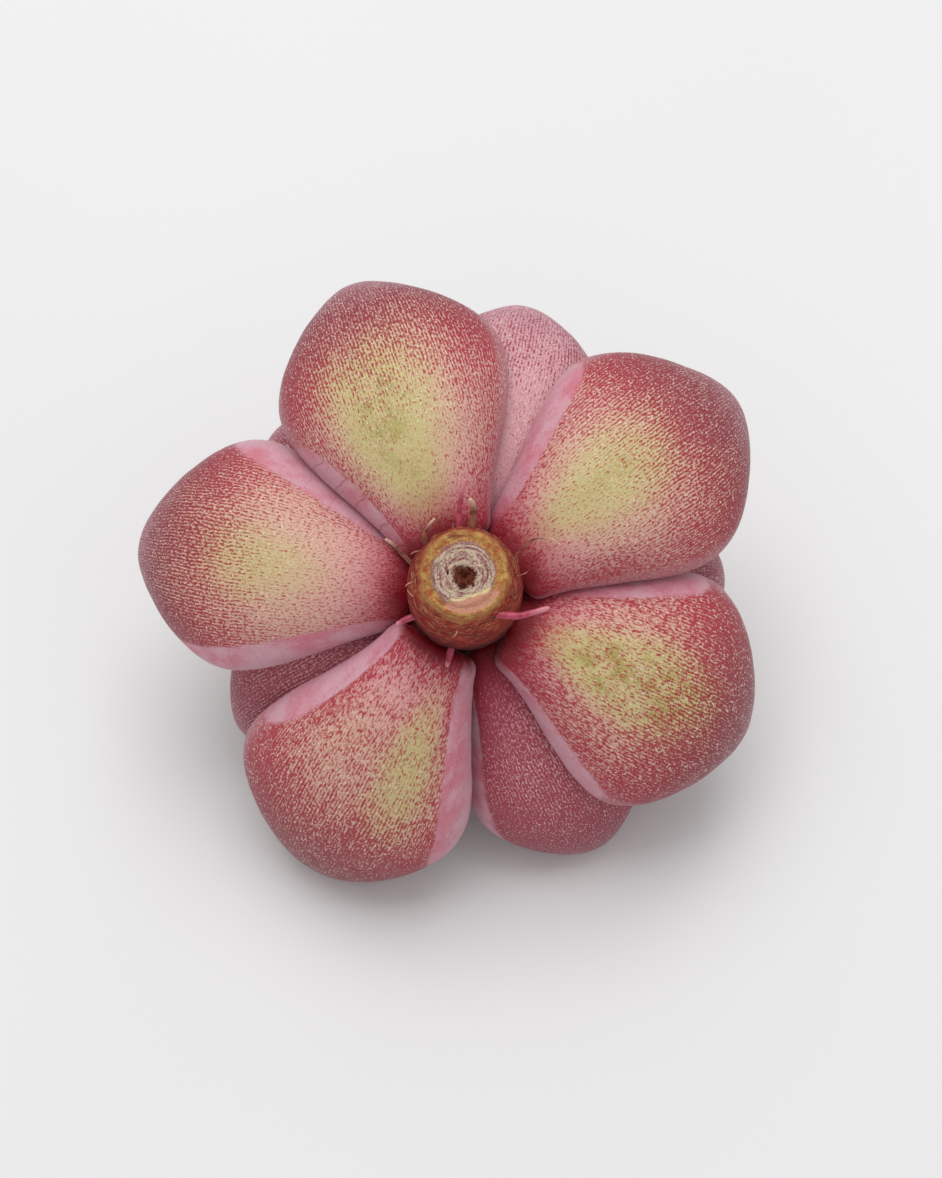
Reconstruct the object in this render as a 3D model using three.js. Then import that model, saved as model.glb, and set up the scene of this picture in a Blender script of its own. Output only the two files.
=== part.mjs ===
// A cut echeveria rosette: thick leaves set spirally round a short stem that has been cut through.
// It has no pot. It lies tipped over on its face with the cut end of the stem up, and rests on the
// flattened tips of two lower leaves and of two leaves at its growing point.
//
// Millimetres, +Z up, angles in degrees. The plant is shaped in its own frame, with the rosette's
// axis along z, the stem at +z and the face at -z. It is tipped over and set down at the end.
import * as THREE from "three";

// ---- How it lies ------------------------------------------------------------------------------
const TILT = 28; // how far the rosette's axis leans from straight up
const CARRIERS = ["outer_leaf_2", "second_leaf_5", "heart_leaf_1", "heart_leaf_3"]; // it rests on
const FLOOR_GAP = 0.3; // between the floor and the lowest leaf that carries nothing
const FLAT_RINGS = 1.35; // how much of a carrier's tip is flattened, in rings of its surface

// ---- Stem -------------------------------------------------------------------------------------
const STEM = {
  radius: 5.7, // at the fattest turn of the bark
  cutRadius: 4.1, // of the cut face
  length: 10.5, // from the lowest leaf up to the cut face
  swell: 4.7, // height of the fattest turn over the lowest leaf
  neck: 4.9, // radius where the lowest leaves join
  core: 15.0, // from the lowest leaf down to the growing point, inside the rosette
  lean: 2.3, // how far the cut face stands off the rosette's axis
};
const STEM_SIDES = 28;
const STEM_GAP = 0.35; // between the stem and each leaf or root
const LEAF_GAP = 0.5; // between a leaf and the older leaves that it lies on

// ---- Leaves -----------------------------------------------------------------------------------
// Whorls from the outside in.
//   seat           where the first leaf sits down the core, as a share of the core's length
//   reach, width   length along the midrib, and greatest width
//   under, upper   thickness on the underside and on the face, from the midrib
//   start, end     how far the midrib points from level towards the face, at the stem and the tip
//   cup            how far the margins stand towards the face
const WHORLS = [
  {
    name: "outer_leaf",
    seat: 0.04,
    reach: 34.5,
    width: 24.5,
    under: 5.2,
    upper: 2.0,
    start: -4,
    end: 58,
    cup: 2.0,
  },
  {
    name: "second_leaf",
    seat: 0.21,
    reach: 30.5,
    width: 20.5,
    under: 4.4,
    upper: 1.8,
    start: 8,
    end: 62,
    cup: 2.0,
  },
  {
    name: "third_leaf",
    seat: 0.41,
    reach: 25,
    width: 16.5,
    under: 3.6,
    upper: 1.6,
    start: 22,
    end: 68,
    cup: 1.8,
  },
  {
    name: "fourth_leaf",
    seat: 0.61,
    reach: 20.5,
    width: 12.5,
    under: 2.8,
    upper: 1.3,
    start: 42,
    end: 78,
    cup: 1.4,
  },
  {
    name: "inner_leaf",
    seat: 0.77,
    reach: 19,
    width: 8.5,
    under: 2.0,
    upper: 0.9,
    start: 62,
    end: 90,
    cup: 0.9,
  },
  {
    name: "heart_leaf",
    seat: 0.89,
    reach: 20,
    width: 5.0,
    under: 1.4,
    upper: 0.7,
    start: 78,
    end: 93,
    cup: 0.5,
  },
];
const WHORL_TURN = -32; // each whorl is turned this far from the one outside it
const AZIMUTHS = [110, 243, 36, 171, 335]; // of the outer leaves, in the order in which they grew
const HEART_LEAVES = 3; // the growing point has no room for more

// What sets single leaves apart: turn sideways, droop of the whole leaf and curl of its tip in
// degrees, hook, the sideways bend of the tip, in mm, and the shares of the whorl's own reach and
// of its width on the left and right.
const PLAIN = { turn: 0, droop: 0, curl: 0, hook: 0, reach: 1, left: 1, right: 1 };
const SINGLE = {
  outer_leaf_1: { curl: -10, reach: 0.92, left: 0.97, right: 1.04 },
  outer_leaf_2: { droop: 11, hook: -1, left: 0.94, right: 1.16 },
  outer_leaf_3: { curl: -10, reach: 0.97, left: 1.1, right: 1.02 },
  outer_leaf_4: { curl: -8, reach: 0.98, left: 0.98, right: 1.12 },
  outer_leaf_5: { turn: -1, reach: 0.97, left: 1.14, right: 1.14 },
  second_leaf_1: { reach: 1.05, right: 1.06 },
  second_leaf_2: { reach: 0.93 },
  second_leaf_3: { reach: 0.94 },
  second_leaf_4: { reach: 0.93 },
  second_leaf_5: { turn: -5, droop: -2, left: 1.06, right: 1.06 },
  third_leaf_5: { reach: 0.92 },
  inner_leaf_3: { reach: 0.95 },
};

// ---- Shape shared by all leaves ---------------------------------------------------------------
const OUTLINE = { base: 0.37, widest: 0.62, rise: 1.5, shoulder: 1.75, tip: 0.85 };
const FLESH = { base: 0.4, thickest: 0.58, rise: 1.1, round: 2.3, margin: 2.6 };
const POINT = { halfWidth: 0.4, length: 1.2 }; // the small hard point that ends each leaf
const SQUEEZE = 0.5; // share of its thickness that a pressed leaf may lose
const PRESSINGS = 8; // rounds of pressing a leaf against the older ones
const SLOPE = 1.2; // how steeply a leaf leaves the face of an older one past its margin
const DEEP = 14; // a point this far below a leaf's midrib lies on other leaves
const MIDRIB_STEPS = 40;
const LARGE_GRID = { rings: 12, spokes: 20 }; // the two outer whorls
const SMALL_GRID = { rings: 9, spokes: 14 };

// ---- Roots ------------------------------------------------------------------------------------
// Short roots sprung from the bark. height is over the lowest leaf, swing and rise are the way a
// root leaves the stem, and curl and climb how far it turns sideways and upwards along its length.
const ROOTS = [
  {
    name: "pink_root_1",
    azimuth: -46,
    height: 9.0,
    length: 4.4,
    thick: 0.6,
    swing: 54,
    rise: 5,
    curl: 10,
    climb: 0,
  },
  {
    name: "pink_root_2",
    azimuth: 96,
    height: 7.2,
    length: 4.4,
    thick: 0.4,
    swing: -6,
    rise: 20,
    curl: -14,
    climb: 0,
  },
  {
    name: "pink_bud_1",
    azimuth: 256,
    height: 2.6,
    length: 1.3,
    thick: 0.7,
    swing: 0,
    rise: 25,
    curl: 0,
    climb: 0,
  },
  {
    name: "pink_bud_2",
    azimuth: 206,
    height: 4.4,
    length: 1.1,
    thick: 0.7,
    swing: 0,
    rise: 10,
    curl: 0,
    climb: 0,
  },
  {
    name: "dry_root_1",
    azimuth: 84,
    height: 8.4,
    length: 3.2,
    thick: 0.9,
    swing: -30,
    rise: 30,
    curl: 70,
    climb: 30,
  },
  {
    name: "dry_root_2",
    azimuth: 158,
    height: 6.2,
    length: 3.8,
    thick: 0.45,
    swing: -50,
    rise: 30,
    curl: 40,
    climb: 10,
  },
  {
    name: "dry_root_3",
    azimuth: 136,
    height: 7.6,
    length: 3.0,
    thick: 0.4,
    swing: -60,
    rise: 35,
    curl: -30,
    climb: 0,
  },
  {
    name: "hair_root",
    azimuth: 28,
    height: 6.8,
    length: 6.0,
    thick: 0.35,
    swing: 60,
    rise: 25,
    curl: -130,
    climb: 10,
  },
];
const ROOT_TAPER = 0.45; // thickness of a root's end, as a share of its start
const ROOT_GRID = { rings: 6, spokes: 7 };

// ---- Colours ----------------------------------------------------------------------------------
const SKIN = { leaf: 0xa8545f, young: 0xb76b75, bark: 0x85452e, pink: 0xc7616f, dry: 0x996b47 };

const rad = THREE.MathUtils.degToRad;
const clamp = THREE.MathUtils.clamp;

/** Width along a leaf, as a share of its widest: narrow at the stem, widest past the middle. */
function outline(t) {
  const { base, widest, rise, shoulder, tip } = OUTLINE;
  if (t < widest) {
    return base + (1 - base) * Math.sin((Math.PI / 2) * (t / widest)) ** rise;
  }
  return Math.max(0, 1 - ((t - widest) / (1 - widest)) ** shoulder) ** tip;
}

/** Thickness along a leaf, as a share of its thickest. */
function flesh(t) {
  const { base, thickest, rise, round } = FLESH;
  if (t < thickest) {
    return base + (1 - base) * Math.sin((Math.PI / 2) * (t / thickest)) ** rise;
  }
  return Math.sqrt(Math.max(0, 1 - ((t - thickest) / (1 - thickest)) ** round));
}

/** Radius of the stem at a height over the lowest leaf, or of the core in the rosette below it. */
function stemRadius(z) {
  const { radius, cutRadius, length, swell, neck, core } = STEM;
  if (z < 0) {
    return neck * Math.sqrt(Math.max(0, 1 - (-z / core) ** 2.2));
  }
  if (z < swell) {
    return neck + (radius - neck) * Math.sin((Math.PI / 2) * (z / swell));
  }
  const share = Math.min(1, (z - swell) / (length - swell));
  return radius - (radius - cutRadius) * share ** 2.4;
}

/** How far the middle of the stem stands off the rosette's axis at a height, along y. */
function stemMiddle(z) {
  return STEM.lean * clamp(z / STEM.length, 0, 1) ** 1.5;
}

function middle(points) {
  const sum = new THREE.Vector3();
  for (const p of points) sum.add(p);
  return sum.divideScalar(points.length);
}

/** One thick leaf. In its own frame x runs out from the stem, y across, and z to the underside. */
class Leaf {
  constructor(name, spec, { rings, spokes }) {
    this.name = name;
    Object.assign(this, spec, { rings, spokes });
    this.lift = new Float64Array((rings + 1) * spokes); // how far each grid point is pressed down
    this.midrib = this.traceMidrib();
    const out = stemRadius(-this.seat) + STEM_GAP;
    this.matrix = new THREE.Matrix4()
      .makeRotationZ(rad(this.azimuth))
      .multiply(new THREE.Matrix4().makeTranslation(out, 0, -this.seat));
    this.inverse = this.matrix.clone().invert();
  }

  /** Points and directions along the midrib, which bends evenly from start to end. */
  traceMidrib() {
    const angleAt = (t) => rad(this.start + (this.end - this.start) * t);
    const step = this.reach / MIDRIB_STEPS;
    const points = [{ x: 0, z: 0, angle: angleAt(0) }];
    for (let i = 1; i <= MIDRIB_STEPS; i++) {
      const { x, z } = points[i - 1];
      const between = angleAt((i - 0.5) / MIDRIB_STEPS);
      points.push({
        x: x + Math.cos(between) * step,
        z: z - Math.sin(between) * step,
        angle: angleAt(i / MIDRIB_STEPS),
      });
    }
    return points;
  }

  midribAt(t) {
    const at = clamp(t, 0, 1) * MIDRIB_STEPS;
    const i = Math.min(MIDRIB_STEPS - 1, Math.floor(at));
    const [a, b] = [this.midrib[i], this.midrib[i + 1]];
    const mix = (key) => a[key] + (b[key] - a[key]) * (at - i);
    return { x: mix("x"), z: mix("z"), angle: mix("angle") };
  }

  halfWidth(t, side) {
    const share = side > 0 ? this.left : this.right;
    return Math.max(POINT.halfWidth, (this.width / 2) * outline(t) * share);
  }

  /** How far the leaf bends sideways towards its tip. */
  sway(t) {
    return this.hook * clamp(t, 0, 1) ** 4;
  }

  /** Height of the underside or the face over the midrib, at v from -1 to 1 across the leaf. */
  height(t, v, underside) {
    const section = Math.sqrt(Math.max(0, 1 - Math.abs(v) ** FLESH.margin));
    const most = flesh(t) * (underside ? this.under : this.upper);
    const thick = Math.max(0.8 * POINT.halfWidth, most) * (underside ? 1 : -1);
    return thick * section - this.cup * outline(t) * v * v;
  }

  /** Where a ring lies along the leaf. Rings are closer together near both ends. */
  ringAt(i) {
    const even = i / this.rings;
    return 0.5 * even + 0.25 * (1 - Math.cos(Math.PI * even));
  }

  /** A point of the surface in the plant's frame, pressed as far as it has to be. */
  gridPoint(i, j) {
    const t = this.ringAt(i);
    const turn = (2 * Math.PI * j) / this.spokes;
    const v = Math.cos(turn);
    const m = this.midribAt(t);
    const n = this.height(t, v, Math.sin(turn) >= 0) - this.lift[i * this.spokes + j];
    const y = this.halfWidth(t, v) * v + this.sway(t);
    const local = new THREE.Vector3(m.x + Math.sin(m.angle) * n, y, m.z + Math.cos(m.angle) * n);
    return this.clearStem(local.applyMatrix4(this.matrix));
  }

  clearStem(p) {
    const off = stemMiddle(p.z);
    const least = stemRadius(p.z) + STEM_GAP;
    const out = Math.hypot(p.x, p.y - off);
    if (out < least) {
      p.x *= least / out;
      p.y = off + (p.y - off) * (least / out);
    }
    return p;
  }

  /** Where a point lies on this leaf: along it, across it, and its height over the midrib. */
  locate(p) {
    const q = p.clone().applyMatrix4(this.inverse);
    let nearest = 0;
    let least = Infinity;
    this.midrib.forEach((m, i) => {
      const away = (q.x - m.x) ** 2 + (q.z - m.z) ** 2;
      if (away < least) {
        least = away;
        nearest = i;
      }
    });
    const m = this.midrib[nearest];
    const ahead = (q.x - m.x) * Math.cos(m.angle) - (q.z - m.z) * Math.sin(m.angle);
    const t = nearest / MIDRIB_STEPS + ahead / this.reach;
    const at = this.midribAt(t);
    const n = (q.x - at.x) * Math.sin(at.angle) + (q.z - at.z) * Math.cos(at.angle);
    return { t, y: q.y - this.sway(t), n };
  }

  /** How far the face is pressed down at a place between the grid points. */
  liftAt(t, v) {
    const ring = clamp(this.rings * t, 0, this.rings - 1e-6);
    const spoke = this.spokes * (1 - Math.acos(clamp(v, -1, 1)) / (2 * Math.PI));
    const [i, j] = [Math.floor(ring), Math.floor(spoke)];
    const at = (a, b) => this.lift[a * this.spokes + (b % this.spokes)];
    const low = at(i, j) + (at(i + 1, j) - at(i, j)) * (ring - i);
    const high = at(i, j + 1) + (at(i + 1, j + 1) - at(i, j + 1)) * (ring - i);
    return low + (high - low) * (spoke - j);
  }

  /** How far a point has to sink to lie clear below this leaf's face. */
  sinkFor(p) {
    const { t, y, n } = this.locate(p);
    if (n < -DEEP) return 0;
    const on = clamp(t, 0, 1);
    const half = this.halfWidth(on, y);
    const v = clamp(y / half, -1, 1);
    const face = this.height(on, v, false) - this.liftAt(on, v);
    const beyond = Math.max(0, Math.abs(y) - half) + Math.abs(t - on) * this.reach;
    return n - face + LEAF_GAP - SLOPE * beyond;
  }

  /** Presses this leaf towards the face until it lies clear of the older leaves. */
  settleOn(older) {
    for (let round = 1; round <= PRESSINGS; round++) {
      this.sinkBelow(older);
      this.keepThickness();
      if (round < PRESSINGS - 1) this.smoothLift();
    }
  }

  /** Sinks each grid point by what it and the middles of the edges and faces at it need. */
  sinkBelow(older) {
    const { rings, spokes } = this;
    const grid = [];
    for (let i = 0; i <= rings; i++) {
      for (let j = 0; j < spokes; j++) grid.push(this.gridPoint(i, j));
    }
    const need = new Float64Array(grid.length);
    for (let i = 0; i <= rings; i++) {
      for (let j = 0; j < spokes; j++) {
        const at = i * spokes + j;
        const beside = i * spokes + ((j + 1) % spokes);
        const ahead = Math.min(rings, i + 1) * spokes + j;
        const across = Math.min(rings, i + 1) * spokes + ((j + 1) % spokes);
        for (const other of [at, beside, ahead, across]) {
          const p = grid[at].clone().lerp(grid[other], 0.5);
          const sink = Math.max(0, ...older.map((leaf) => leaf.sinkFor(p)));
          need[at] = Math.max(need[at], sink);
          need[other] = Math.max(need[other], sink);
        }
      }
    }
    need.forEach((sink, k) => {
      this.lift[k] += sink;
    });
  }

  keepThickness() {
    for (let i = 0; i <= this.rings; i++) {
      for (let j = 1; j < this.spokes / 2; j++) {
        const t = this.ringAt(i);
        const v = Math.cos((2 * Math.PI * j) / this.spokes);
        const give = SQUEEZE * (this.height(t, v, true) - this.height(t, v, false));
        const face = i * this.spokes + this.spokes - j;
        const pressed = this.lift[i * this.spokes + j];
        this.lift[face] = Math.max(this.lift[face], pressed - give);
      }
    }
  }

  /** Eases the edge of what is pressed, and never lets a point rise. */
  smoothLift() {
    const { rings, spokes } = this;
    const before = this.lift.slice();
    for (let i = 0; i <= rings; i++) {
      for (let j = 0; j < spokes; j++) {
        const at = (a, b) => before[clamp(a, 0, rings) * spokes + ((b + spokes) % spokes)];
        const beside = at(i - 1, j) + at(i + 1, j) + at(i, j - 1) + at(i, j + 1);
        this.lift[i * spokes + j] = Math.max(at(i, j), beside / 4);
      }
    }
  }

  /** The skin as rings of points, with the points that close it at the stem and at its tip. */
  skin() {
    const rings = [];
    for (let i = 0; i <= this.rings; i++) {
      const ring = [];
      for (let j = 0; j < this.spokes; j++) ring.push(this.gridPoint(i, j));
      rings.push(ring);
    }
    const end = this.midribAt(1).angle;
    const ahead = new THREE.Vector3(Math.cos(end), 0, -Math.sin(end));
    ahead.transformDirection(this.matrix);
    const tip = middle(rings[this.rings]).addScaledVector(ahead, POINT.length);
    return { rings, start: middle(rings[0]), tip };
  }
}

const down = new THREE.Vector3(0, -Math.sin(rad(TILT)), -Math.cos(rad(TILT)));

/** How far a leaf reaches down, leaving out a number of its lowest points. */
function footing(leaf, leftOut) {
  const { rings, tip } = leaf.skin();
  const depths = [...rings.flat(), tip].map((p) => p.dot(down));
  return depths.sort((a, b) => b - a)[leftOut];
}

/** Makes a leaf. One that carries the plant is as long as it takes to lie flat on the floor. */
function growLeaf(name, spec, grid, older, floor) {
  const make = (reach) => {
    const leaf = new Leaf(name, { ...spec, reach }, grid);
    leaf.settleOn(older);
    return leaf;
  };
  if (floor === undefined || !CARRIERS.includes(name)) return make(spec.reach);
  const flattened = Math.round(FLAT_RINGS * grid.spokes);
  let short = 0.5 * spec.reach;
  let long = 2 * spec.reach;
  while (long - short > 0.001) {
    const half = (short + long) / 2;
    if (footing(make(half), flattened) < floor) short = half;
    else long = half;
  }
  return make(long);
}

/** All leaves, oldest first, each pressed clear of the older ones. */
function growLeaves(floor) {
  const leaves = [];
  WHORLS.forEach((whorl, w) => {
    const next = WHORLS[w + 1] ?? whorl;
    const count = next === whorl ? HEART_LEAVES : AZIMUTHS.length;
    for (let i = 0; i < count; i++) {
      const name = `${whorl.name}_${i + 1}`;
      const own = { ...PLAIN, ...SINGLE[name] };
      const at = (key) => whorl[key] + ((next[key] - whorl[key]) * 0.5 * i) / count;
      const spec = {
        azimuth: AZIMUTHS[i] + WHORL_TURN * w + own.turn,
        seat: at("seat") * STEM.core,
        reach: at("reach") * own.reach,
        width: at("width"),
        under: at("under"),
        upper: at("upper"),
        start: at("start") + own.droop,
        end: at("end") + own.droop + own.curl,
        cup: at("cup"),
        left: own.left,
        right: own.right,
        hook: own.hook,
      };
      leaves.push(growLeaf(name, spec, w < 2 ? LARGE_GRID : SMALL_GRID, leaves, floor));
    }
  });
  return leaves;
}

/** A closed body from rings of points and the point that closes it at each end. */
function solid({ rings, start, tip }) {
  const spokes = rings[0].length;
  const points = [...rings.flat(), start, tip];
  const [first, last] = [points.length - 2, points.length - 1];
  const end = (rings.length - 1) * spokes;
  const index = [];
  for (let j = 0; j < spokes; j++) {
    const k = (j + 1) % spokes;
    for (let i = 0; i < end; i += spokes) {
      index.push(i + j, i + k, i + spokes + k);
      index.push(i + j, i + spokes + k, i + spokes + j);
    }
    index.push(first, k, j);
    index.push(last, end + j, end + k);
  }
  const made = new THREE.BufferGeometry().setFromPoints(points).setIndex(index);
  made.computeVertexNormals();
  return made;
}

/** A root that starts just clear of the bark and bends evenly along its length. */
function rootSkin({ azimuth, height, length, thick, swing, rise, curl, climb }) {
  const out = stemRadius(height) + STEM_GAP + 0.3 * thick;
  const at = new THREE.Vector3(Math.cos(rad(azimuth)) * out, Math.sin(rad(azimuth)) * out, height);
  at.y += stemMiddle(height);
  const heading = new THREE.Vector3();
  const rings = [];
  for (let i = 0; i <= ROOT_GRID.rings; i++) {
    const share = i / ROOT_GRID.rings;
    const turn = rad(azimuth + swing + curl * share);
    const up = rad(rise + climb * share);
    heading.set(Math.cos(turn) * Math.cos(up), Math.sin(turn) * Math.cos(up), Math.sin(up));
    if (i > 0) at.addScaledVector(heading, length / ROOT_GRID.rings);
    const side = new THREE.Vector3(-Math.sin(turn), Math.cos(turn), 0);
    const over = new THREE.Vector3().crossVectors(heading, side);
    const radius = (thick / 2) * (1 - (1 - ROOT_TAPER) * share);
    const ring = [];
    for (let j = 0; j < ROOT_GRID.spokes; j++) {
      const around = (2 * Math.PI * j) / ROOT_GRID.spokes;
      const p = at.clone().addScaledVector(side, Math.cos(around) * radius);
      ring.push(p.addScaledVector(over, Math.sin(around) * radius));
    }
    rings.push(ring);
  }
  const tip = middle(rings[ROOT_GRID.rings]).addScaledVector(heading, 0.3 * thick);
  return { rings, start: middle(rings[0]), tip };
}

function makeStem() {
  const profile = [new THREE.Vector2(0, -STEM.core)];
  for (let i = 1; i <= 7; i++) {
    const z = -STEM.core * Math.cos((i / 7) * (Math.PI / 2));
    profile.push(new THREE.Vector2(stemRadius(z), z));
  }
  for (let i = 1; i <= 8; i++) {
    const z = (STEM.length * i) / 8;
    profile.push(new THREE.Vector2(stemRadius(z), z));
  }
  profile.push(new THREE.Vector2(0, STEM.length));
  const made = new THREE.LatheGeometry(profile, STEM_SIDES).rotateX(Math.PI / 2);
  const position = made.getAttribute("position");
  for (let i = 0; i < position.count; i++) {
    position.setY(i, position.getY(i) + stemMiddle(position.getZ(i)));
  }
  made.computeVertexNormals();
  return made;
}

// ---- The plant --------------------------------------------------------------------------------
const plant = new THREE.Group();

function add(name, geometry, colour, roughness) {
  const look = new THREE.MeshStandardMaterial({ color: colour, roughness, metalness: 0 });
  const mesh = new THREE.Mesh(geometry, look);
  mesh.name = name;
  plant.add(mesh);
}

// The floor lies just under the lowest leaf that carries nothing, and the carriers reach it.
const free = growLeaves().filter((leaf) => !CARRIERS.includes(leaf.name));
const floor = Math.max(...free.map((leaf) => footing(leaf, 0))) + FLOOR_GAP;

add("stem", makeStem(), SKIN.bark, 0.8);
for (const leaf of growLeaves(floor)) {
  const skin = leaf.skin();
  for (const p of [...skin.rings.flat(), skin.tip]) {
    p.addScaledVector(down, Math.min(0, floor - p.dot(down)));
  }
  const young = leaf.spokes === SMALL_GRID.spokes;
  add(leaf.name, solid(skin), young ? SKIN.young : SKIN.leaf, 0.55);
}
for (const root of ROOTS) {
  add(root.name, solid(rootSkin(root)), root.name.startsWith("pink") ? SKIN.pink : SKIN.dry, 0.7);
}

// Tipped over so that the stem leans towards -y, and set down with the middle of its box on z.
plant.rotation.x = rad(TILT);
const box = new THREE.Box3().setFromObject(plant, true);
const centre = box.getCenter(new THREE.Vector3());
plant.position.set(-centre.x, -centre.y, -box.min.z);

export default plant;
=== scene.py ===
"""A cut echeveria rosette that lies on its face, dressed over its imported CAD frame.

The leaves are finer copies of the CAD leaves with a painted, speckled skin. The stem, its cut
face, the rootlets and the torn fibres at its rim are modelled here. Lengths in the classes are
in millimetres and are turned into metres where a mesh is made.
"""

import logging
import math
from dataclasses import dataclass, field
from enum import Enum

import bpy
import numpy as np
from mathutils import Matrix, Vector


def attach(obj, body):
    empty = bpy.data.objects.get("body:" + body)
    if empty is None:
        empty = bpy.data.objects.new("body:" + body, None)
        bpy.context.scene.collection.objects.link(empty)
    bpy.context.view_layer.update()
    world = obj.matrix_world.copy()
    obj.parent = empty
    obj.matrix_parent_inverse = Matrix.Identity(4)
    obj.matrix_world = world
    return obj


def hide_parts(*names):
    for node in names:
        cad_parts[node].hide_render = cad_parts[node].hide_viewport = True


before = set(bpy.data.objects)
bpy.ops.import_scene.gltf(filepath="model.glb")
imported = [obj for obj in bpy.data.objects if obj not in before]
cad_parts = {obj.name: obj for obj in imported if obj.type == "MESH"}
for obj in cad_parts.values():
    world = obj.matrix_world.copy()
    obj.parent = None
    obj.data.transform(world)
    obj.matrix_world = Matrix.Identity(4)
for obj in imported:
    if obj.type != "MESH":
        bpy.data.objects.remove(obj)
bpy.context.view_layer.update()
LOG = logging.getLogger("rosette")
MM = 0.001
MERGE_M = 1e-6  # points nearer than this are one
BODY = "root"

Colour = tuple[float, float, float]


def rgb(red: int, green: int, blue: int) -> Colour:
    """Gives the linear colour of a display colour.

    Args:
        red: Red, from 0 to 255.
        green: Green, from 0 to 255.
        blue: Blue, from 0 to 255.

    Returns:
        The colour as three linear numbers.
    """

    def linear(channel: int) -> float:
        """Takes the display curve off one channel."""
        share = channel / 255
        return share / 12.92 if share <= 0.04045 else ((share + 0.055) / 1.055) ** 2.4

    return (linear(red), linear(green), linear(blue))


def smoothstep(low: float, high: float, value: np.ndarray) -> np.ndarray:
    """Rises smoothly from 0 at low to 1 at high.

    Args:
        low: Where the rise starts.
        high: Where it ends.
        value: The numbers to map.

    Returns:
        The mapped numbers.
    """
    share = np.clip((value - low) / (high - low), 0, 1)
    return share * share * (3 - 2 * share)


# ---- Shader arithmetic --------------------------------------------------------------------------


class Value:
    """A number, vector or colour socket of a material, for use in expressions."""

    def __init__(self, shader: "Shader", socket: bpy.types.NodeSocket) -> None:
        """Wraps an output socket of a shader's node."""
        self.shader = shader
        self.socket = socket

    def math(self, operation: str, *others: "Value | float") -> "Value":
        """Adds a Math node.

        Args:
            operation: The node's operation.
            *others: The node's other inputs, in order.

        Returns:
            The result.
        """
        inputs = dict(enumerate((self, *others)))
        return self.shader.value("ShaderNodeMath", {"operation": operation}, inputs)

    def __add__(self, other: "Value | float") -> "Value":
        """Adds."""
        return self.math("ADD", other)

    def __radd__(self, other: float) -> "Value":
        """Adds to a number."""
        return self.math("ADD", other)

    def __sub__(self, other: "Value | float") -> "Value":
        """Subtracts."""
        return self.math("SUBTRACT", other)

    def __rsub__(self, other: float) -> "Value":
        """Is subtracted from a number."""
        return (self * -1.0) + other

    def __mul__(self, other: "Value | float") -> "Value":
        """Multiplies."""
        return self.math("MULTIPLY", other)

    def __truediv__(self, other: "Value | float") -> "Value":
        """Divides."""
        return self.math("DIVIDE", other)

    def __abs__(self) -> "Value":
        """Drops the sign."""
        return self.math("ABSOLUTE")

    def sine(self) -> "Value":
        """Gives the sine."""
        return self.math("SINE")

    def at_least(self, low: float) -> "Value":
        """Lifts whatever is under a number to it."""
        return self.math("MAXIMUM", low)

    def at_most(self, high: float) -> "Value":
        """Lowers whatever is over a number to it."""
        return self.math("MINIMUM", high)

    def rise(self, low: "Value | float", high: "Value | float") -> "Value":
        """Rises smoothly from 0 at low to 1 at high, and the other way if low is greater.

        Args:
            low: Where the result is 0.
            high: Where it is 1.

        Returns:
            The result, from 0 to 1.
        """
        return self.shader.value(
            "ShaderNodeMapRange",
            {"interpolation_type": "SMOOTHSTEP"},
            {0: self, 1: low, 2: high, 3: 0.0, 4: 1.0},
        )


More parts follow.
